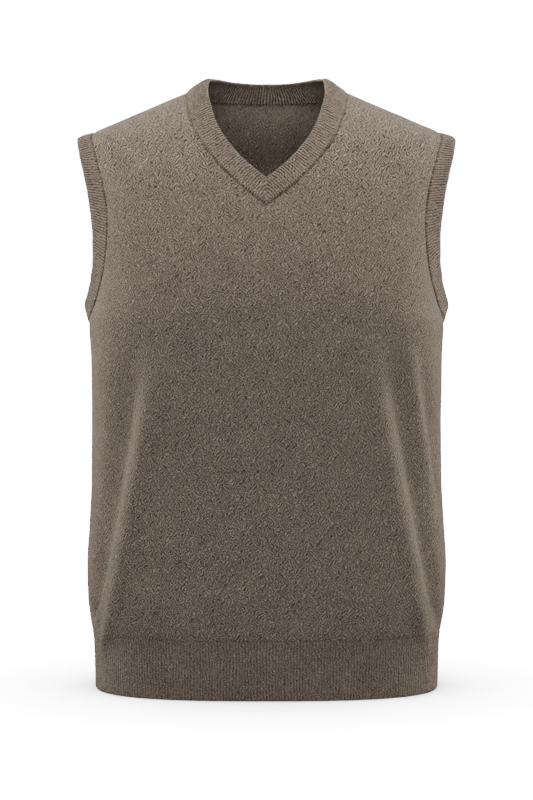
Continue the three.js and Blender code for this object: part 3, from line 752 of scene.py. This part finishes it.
def stitches(name, seam, normal, pitch, closed=False):
    """A row of small yarn loops across a seam, sunk in its groove."""
    if closed:
        seam, normal = np.concatenate([seam, seam[:1]]), np.concatenate([normal, normal[:1]])
    run = run_of(seam)
    count = int(run[-1] / pitch)
    goals = (np.arange(count) + 0.5) * run[-1] / count
    place, up = at_run(run, goals, seam, normal)
    ahead = at_run(run, goals + 0.3, seam)[0] - at_run(run, goals - 0.3, seam)[0]
    up, ahead = unit(up), unit(ahead)
    side = unit(np.cross(up, ahead))
    lean = unit(side + 0.45 * ahead)
    rings, around = len(LOOP_TAPER), 6
    points = []
    for t, radius in zip(np.linspace(-1, 1, rings), LOOP_TAPER * LOOP_RADIUS):
        centre = place + lean * (t * LOOP_REACH) + up * (LOOP_ARCH * (1 - t * t) - LOOP_SINK)
        for angle in np.arange(around) * 2 * np.pi / around:
            points.append(centre + (ahead * math.cos(angle) + up * math.sin(angle)) * radius)
    points = np.stack(points, axis=1)
    one = tube_faces(rings, around)
    size = rings * around
    faces = [quad for k in range(count) for quad in (one + k * size).tolist()]
    for k in range(count):
        faces.append([k * size + i for i in range(around)][::-1])
        faces.append([(k + 1) * size - around + i for i in range(around)])
    uv = np.zeros((count * size, 2))
    uv[:, 0] = np.repeat(goals, size) * MM
    return new_mesh(name, points.reshape(-1, 3), faces, uv)


# Materials

WOOL = (0.150, 0.1233, 0.1003)  # the middle tone, in linear light
TONES = ((0.0, 0.22), (0.25, 0.5), (0.5, 1.0), (0.75, 1.75), (1.0, 2.7))  # shares of it, from dark to light
THREADS = ((48, 2.35, 1), (-52, 2.95, 2))  # slant in degrees, millimetres from thread to thread, and seed
THREAD_WANDER = 2.8  # how far threads stray, as a count of threads
THREAD_TONE = {"jersey": 0.34, "purl": 0.28, "rib": 0.24, "hem": 0.2}  # how much they show
# the last of these is painted shade in the hollows between stitches
GRAIN_TONE, SPECK_TONE, CLOUD_TONE, STITCH_SHADE = 0.85, 0.6, 0.16, 0.12
# painted shadow along the seams, for each kind of knit
SEAM_SHADE_TONE = {"jersey": -0.6, "purl": -0.4, "rib": -0.35, "hem": -0.05}
# painted shade in the rib furrows, and on the next line a painted highlight on the ridges
FURROW_SHADE = {"rib": -0.72, "hem": -0.25}
RIDGE_HIGHLIGHT = {"rib": 0.2, "hem": 0.06}
RIM_HIGHLIGHT = 0.34  # a painted highlight along a band's rolled edge
# painted shade: low on the body, on the bands' inner faces, and down the inside of the back
LOW_BODY_SHADE, INNER_BAND_SHADE, INNER_BACK_SHADE = -0.03, -0.09, -0.3
WOOL_FINISH = {
    "Roughness": 0.92, "Specular IOR Level": 0.12,
    "Sheen Weight": 0.22, "Sheen Roughness": 0.35, "Sheen Tint": (0.96, 0.84, 0.72, 1),
}


class Paint:
    """A node material under construction."""

    def __init__(self, name):
        self.material = bpy.data.materials.new(name)
        self.material.use_nodes = True
        self.tree = self.material.node_tree
        self.shader = next(n for n in self.tree.nodes if n.type == "BSDF_PRINCIPLED")

    def node(self, kind, inputs=(), output=0, **settings):
        node = self.tree.nodes.new(kind)
        for key, value in settings.items():
            setattr(node, key, value)
        for key, value in dict(inputs).items():
            self.feed(node.inputs[key], value)
        return node.outputs[output]

    def feed(self, socket, value):
        if isinstance(value, bpy.types.NodeSocket):
            self.tree.links.new(value, socket)
        else:
            socket.default_value = value

    def finish(self, inputs):
        for key, value in inputs.items():
            self.feed(self.shader.inputs[key], value)

    def math(self, operation, *values):
        return self.node("ShaderNodeMath", dict(enumerate(values)), operation=operation)

    def vector(self, operation, *values):
        return self.node("ShaderNodeVectorMath", dict(enumerate(values)), operation=operation)

    def noise(self, place, scale, detail):
        return self.node("ShaderNodeTexNoise", {"Vector": place, "Scale": scale, "Detail": detail})

    def add(self, value, layer, share):
        """The value with this share of a layer added."""
        return self.math("MULTIPLY_ADD", layer, share, value)

    def ramp(self, value, stops):
        node = self.tree.nodes.new("ShaderNodeValToRGB")
        self.feed(node.inputs[0], value)
        ramp = node.color_ramp
        while len(ramp.elements) < len(stops):
            ramp.elements.new(0.5)
        for element, (position, colour) in zip(ramp.elements, stops):
            element.position, element.color = position, colour
        return node.outputs[0]

    def span(self, value, low, high, to_low=0.0, to_high=1.0):
        names = ("Value", "From Min", "From Max", "To Min", "To Max")
        return self.node("ShaderNodeMapRange", dict(zip(names, (value, low, high, to_low, to_high))))


def threads(paint, place, angle, period, seed):
    """Wandering threads of yarn at this angle: from -1 in the gaps to 1 along the threads."""
    moved = paint.vector("ADD", place, (seed * 37.0, seed * 53.0, 0))
    turned = paint.node("ShaderNodeVectorRotate", {"Vector": moved, "Angle": math.radians(angle)})
    along = paint.node("ShaderNodeSeparateXYZ", {0: turned})
    count = paint.math("DIVIDE", along.node.outputs[1], period)
    phase = paint.math("MULTIPLY_ADD", paint.noise(moved, 0.22, 2.0), THREAD_WANDER, count)
    return paint.math("SINE", paint.math("MULTIPLY", phase, 2 * math.pi))


def thread_layer(paint, place, up, kind):
    """Threads of both slants, each in its own patches, here bold and there faint."""
    rising, falling = [threads(paint, place, *row) for row in THREADS]
    patch = paint.span(paint.noise(place, 0.11, 1.0), 0.44, 0.56)
    thread = paint.node("ShaderNodeMix", {"Factor": patch, "A": rising, "B": falling})
    strength = paint.span(paint.noise(place, 0.3, 1.0), 0.3, 0.6, 0.3, 1.0)
    if kind == "jersey":
        strength = paint.math("MULTIPLY", strength, paint.span(up, -125.0, -55.0, 1.0, 1.9))
    return paint.math("MULTIPLY", thread, strength)


def stitch_height(paint, across, up, kind):
    """The relief of the stitches, 0 to 1: rows of small Vs, or on the purl side rows of flat bows."""
    shift = 0.5 if kind in FURROW_SHADE else 0.0
    wale = paint.math("FRACT", paint.math("MULTIPLY_ADD", across, 1 / WALE, shift))
    aside = paint.math("ABSOLUTE", paint.math("MULTIPLY_ADD", wale, 2.0, -1.0))
    course = paint.math("MULTIPLY", up, 1 / COURSE)
    slant = 0.45 if kind == "purl" else -0.85
    strand = paint.math("FRACT", paint.math("MULTIPLY_ADD", aside, slant, course))
    bow = paint.math("MULTIPLY_ADD", strand, 2.0, -1.0)
    height = paint.math("SUBTRACT", 1.0, paint.math("MULTIPLY", bow, bow))
    if kind == "purl":
        return height
    pinch = paint.math("MINIMUM", paint.span(aside, 0.0, 0.3), paint.span(aside, 1.0, 0.75))
    return paint.math("MULTIPLY", height, paint.math("MULTIPLY_ADD", pinch, 0.7, 0.3))


def attribute(paint, name):
    return paint.node("ShaderNodeAttribute", attribute_name=name, attribute_type="GEOMETRY", output=2)


def rib_tones(paint, value, place, across, up, patchy, kind):
    """The value with painted shade in the furrows, a painted highlight on the ridges, a painted shadow line at
    the seam and a painted highlight along the rolled edge.
    """
    rib = paint.math("MULTIPLY", across, 1 / RIB_PITCH)
    ridge = paint.math("ABSOLUTE", paint.math("MULTIPLY_ADD", paint.math("FRACT", rib), 2.0, -1.0))
    one = paint.node("ShaderNodeTexWhiteNoise", {"W": paint.math("FLOOR", rib)}, noise_dimensions="1D")
    along = paint.noise(paint.vector("MULTIPLY", place, (0.4, 0.2, 0)), 1.0, 2.0)
    uneven = paint.math("MULTIPLY_ADD", one, 0.3, paint.span(along, 0.3, 0.7, -0.2, 1.0))
    furrow = paint.math("MULTIPLY", paint.span(ridge, 0.35, 0.9), uneven)
    if kind == "rib":
        furrow = paint.math("MULTIPLY", furrow, paint.span(up, 3.0, 20.0, 0.3, 1.1))
    # painted shade in the furrows, then a painted highlight on the ridges
    value = paint.add(value, furrow, FURROW_SHADE[kind])
    value = paint.add(value, paint.span(ridge, 0.5, 0.0), RIDGE_HIGHLIGHT[kind])
    # a painted shadow line along the band's seam, patchy
    value = paint.add(value, paint.math("MULTIPLY", paint.span(up, 2.6, 0.4), patchy), SEAM_SHADE_TONE[kind])
    # a painted highlight along the rolled edge
    value = paint.add(value, attribute(paint, "rim"), RIM_HIGHLIGHT)
    # painted shade on the band's turned-in inner face
    if kind == "rib":
        value = paint.add(value, paint.span(up, 25.0, 30.0), INNER_BAND_SHADE)
    return value


def panel_tones(paint, value, up, patchy, kind):
    """The value with painted shadow beside the seams, painted shade low on the body and, inside, painted shade
    down the back.
    """
    # painted shade, darker low on the body
    if kind == "jersey":
        value = paint.add(value, paint.span(up, -430.0, -560.0), LOW_BODY_SHADE)
    value = paint.add(value, paint.math("MULTIPLY", attribute(paint, "seam"), patchy), SEAM_SHADE_TONE[kind])
    # painted shade, darker down the inside of the back
    if kind == "purl":
        value = paint.add(value, paint.span(up, -2.0, -58.0, -0.15, 1.0), INNER_BACK_SHADE)
    return value


def knit_paint(name, kind):
    """Melange wool. `kind` is jersey, purl, its back, rib, or hem, a rib that is drawn in less."""
    paint = Paint(name)
    uv = paint.node("ShaderNodeUVMap", uv_map="knit")
    place = paint.vector("MULTIPLY", uv, (1 / MM, 1 / MM, 1))
    across, up = paint.node("ShaderNodeSeparateXYZ", {0: place}).node.outputs[:2]

    thread = thread_layer(paint, place, up, kind)
    grain = paint.math("SUBTRACT", paint.noise(place, 0.95, 1.5), 0.5)
    speck = paint.span(paint.noise(place, 0.8, 0.0), 0.66, 0.8)
    cloud = paint.math("SUBTRACT", paint.noise(place, 0.03, 3.0), 0.5)
    patchy = paint.span(paint.noise(place, 0.09, 2.0), 0.35, 0.65, 0.15, 1.0)
    height = stitch_height(paint, across, up, kind)

    value = paint.math("MULTIPLY_ADD", thread, THREAD_TONE[kind], 0.5)
    value = paint.add(value, grain, GRAIN_TONE)
    value = paint.add(value, speck, SPECK_TONE)
    value = paint.add(value, cloud, CLOUD_TONE)
    # painted shade where the stitches' relief is low
    value = paint.add(value, paint.math("SUBTRACT", height, 0.55), STITCH_SHADE)
    if kind in FURROW_SHADE:
        value = rib_tones(paint, value, place, across, up, patchy, kind)
    else:
        value = panel_tones(paint, value, up, patchy, kind)
    colour = paint.ramp(value, [(at, [channel * shade for channel in WOOL] + [1.0]) for at, shade in TONES])

    relief = paint.math("MULTIPLY_ADD", thread, 0.8, paint.math("MULTIPLY_ADD", grain, 1.2, height))
    bump = paint.node("ShaderNodeBump", {"Height": relief, "Strength": 0.6, "Distance": 0.0004})
    paint.finish({"Base Color": colour, "Normal": bump, **WOOL_FINISH})
    return paint.material


# The vest

def dress(piece, node, paints, parts=()):
    """Paints a piece and its stitches, hangs them on the body's root, and hides the imported part that the
    piece replaces.
    """
    for paint in paints:
        piece.data.materials.append(paint)
    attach(piece, "root")
    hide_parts(node)
    for part in parts:
        part.data.materials.append(paints[0])
        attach(part, "root")


jersey, purl, rib, hem = [knit_paint(f"{kind}_wool", kind) for kind in ("jersey", "purl", "rib", "hem")]

front = panel("front_panel_knit", "front")
back = panel("back_panel_knit", "back")
neck = neck_band("neck_band_rib")
left = armhole_band("armhole_band_left_rib", 1)
right = armhole_band("armhole_band_right_rib", -1)
hem_front = hem_rib("hem_rib_front_knit", "front")
hem_back = hem_rib("hem_rib_back_knit", "back")


def mirrored(line, side):
    return [values * np.array([side, 1, 1]) for values in line]


def neck_loops():
    fall = spaced(on_neckline, 1, 0, CURVE_STEPS)
    fall[-1] = 0
    front_line = cloth(*neckline(fall))
    back_line = cloth(*back_neckline(np.linspace(1, 0, 900)))
    half = [np.concatenate([a, b[1:]]) for a, b in zip(front_line, back_line)]
    whole = [np.concatenate([values, values[::-1][1:] * (-1, 1, 1)]) for values in half]
    return stitches("neck_linking_stitches", *whole, LINKING_PITCH)


def armhole_loops():
    line = armhole_lines()[:2]
    return [stitches(f"armhole_{word}_linking_stitches", *mirrored(line, side), LINKING_PITCH, closed=True)
            for word, side in SIDES]


def seam_loops():
    """Stitches down the shoulder and side seams."""
    shoulder = cloth(np.full(300, np.pi / 2), np.linspace(0, SHOULDER_TIP, 300))
    below_arm = cloth(np.full(600, np.pi / 2), np.linspace(UNDERARM, HEM_BOTTOM + 2, 600))
    loops = []
    for word, side in SIDES:
        loops.append(stitches(f"shoulder_{word}_seam_stitches", *mirrored(shoulder, side), LINKING_PITCH))
        loops.append(stitches(f"side_{word}_seam_stitches", *mirrored(below_arm, side), SIDE_PITCH))
    return loops


at_neck, at_armholes, at_seams = neck_loops(), armhole_loops(), seam_loops()

dress(front, "front_panel", [jersey, purl])
dress(back, "back_panel", [jersey, purl],
      at_seams)
dress(neck, "neck_band", [rib],
      [at_neck])
dress(left, "armhole_band_left", [rib],
      at_armholes[:1])
dress(right, "armhole_band_right", [rib],
      at_armholes[1:])
dress(hem_front, "hem_rib_front", [hem])
dress(hem_back, "hem_rib_back", [hem])


# The studio

BACKDROP = 22  # the white that only the camera sees
ROOM = 0.07  # the faint light from all round
FLOOR_SHADOW = 3  # the larger, the darker the floor under the vest
FLOOR_REACH, FLOOR_DROP = 6, 0.6  # metres to each side, and millimetres below the hem
CAMERA_AT, LENS = (0, -2.1, -0.3441), 84.4
WARM, WHITE = (1, 0.95, 0.89), (1, 1, 1)


def area_light(name, at, aim, size, power, spread=180, colour=WARM):
    light = bpy.data.lights.new(name, "AREA")
    light.shape, light.size, light.size_y = "RECTANGLE", size[0], size[1]
    light.energy, light.spread, light.color = power, math.radians(spread), colour
    lamp = place_in_scene(name, light)
    lamp.location = at
    lamp.rotation_euler = (Vector(aim) - Vector(at)).to_track_quat("-Z", "Y").to_euler()
    lamp.visible_camera = False


def floor_paint():
    """Seen as the white of the backdrop, darker only where the vest keeps light from it.

    To other rays it is a plain grey floor, so that it doesn't light the vest from below.
    """
    paint = Paint("studio_floor")
    paint.finish({"Base Color": (0.3, 0.3, 0.3, 1), "Roughness": 1, "Specular IOR Level": 0})
    seen = paint.node("ShaderNodeLightPath")
    open_sky = paint.node("ShaderNodeAmbientOcclusion", {"Distance": 0.3}, output=1, samples=16)
    bright = paint.math("MULTIPLY", paint.math("POWER", open_sky, FLOOR_SHADOW), BACKDROP)
    glow = paint.node("ShaderNodeEmission", {"Strength": bright})
    mixed = paint.node("ShaderNodeMixShader", {0: seen, 1: paint.shader.outputs[0], 2: glow})
    paint.tree.links.new(mixed, paint.tree.get_output_node("ALL").inputs[0])
    return paint.material


def studio_floor():
    mesh = bpy.data.meshes.new("floor")
    level = (HEM_BOTTOM - FLOOR_DROP) * MM
    corners = [(x * FLOOR_REACH, y * FLOOR_REACH, level) for x, y in ((-1, -1), (1, -1), (1, 1), (-1, 1))]
    mesh.from_pydata(corners, [], [(0, 1, 2, 3)])
    mesh.materials.append(floor_paint())
    return place_in_scene("studio_floor", mesh)


def studio_world():
    """White to the camera, and a faint even light to everything else."""
    world = bpy.data.worlds.new("studio")
    world.use_nodes = True
    tree = world.node_tree
    tree.nodes.clear()
    output = tree.nodes.new("ShaderNodeOutputWorld")
    mixed = tree.nodes.new("ShaderNodeMixShader")
    path = tree.nodes.new("ShaderNodeLightPath")
    for i, strength in ((1, ROOM), (2, BACKDROP)):
        background = tree.nodes.new("ShaderNodeBackground")
        background.inputs["Color"].default_value = (1, 1, 1, 1)
        background.inputs["Strength"].default_value = strength
        tree.links.new(background.outputs[0], mixed.inputs[i])
    tree.links.new(path.outputs["Is Camera Ray"], mixed.inputs[0])
    tree.links.new(mixed.outputs[0], output.inputs[0])
    return world


def studio_camera():
    lens = bpy.data.cameras.new("camera")
    lens.lens, lens.sensor_width = LENS, 36
    camera = place_in_scene("camera", lens)
    camera.location, camera.rotation_euler = CAMERA_AT, (math.pi / 2, 0, 0)
    return camera


area_light("overhead", (0, -0.42, 1.1), (0, 0, -0.1), (1.6, 0.8), 11)
area_light("front_fill", (0, -3.4, 0.5), (0, 0, -0.3), (2.4, 1.4), 67, colour=WHITE)
area_light("back_fill", (0, 3.4, 0.5), (0, 0, -0.3), (2.4, 1.4), 45, colour=WHITE)
area_light("yoke", (0, -1.25, 0.62), (0, 0.02, 0.02), (0.7, 0.35), 0.5, spread=32)
for word, side in SIDES:
    area_light(f"side_{word}", (side * 1.1, 0.42, -0.31), (0, 0, -0.35), (0.35, 0.86), 8.9)
    area_light(f"high_{word}", (side * 1.0, 0.15, 0.6), (0, 0, -0.1), (0.5, 0.5), 14.5)
studio_floor()
bpy.context.scene.world = studio_world()
bpy.context.scene.camera = studio_camera()

bpy.context.view_layer.update()
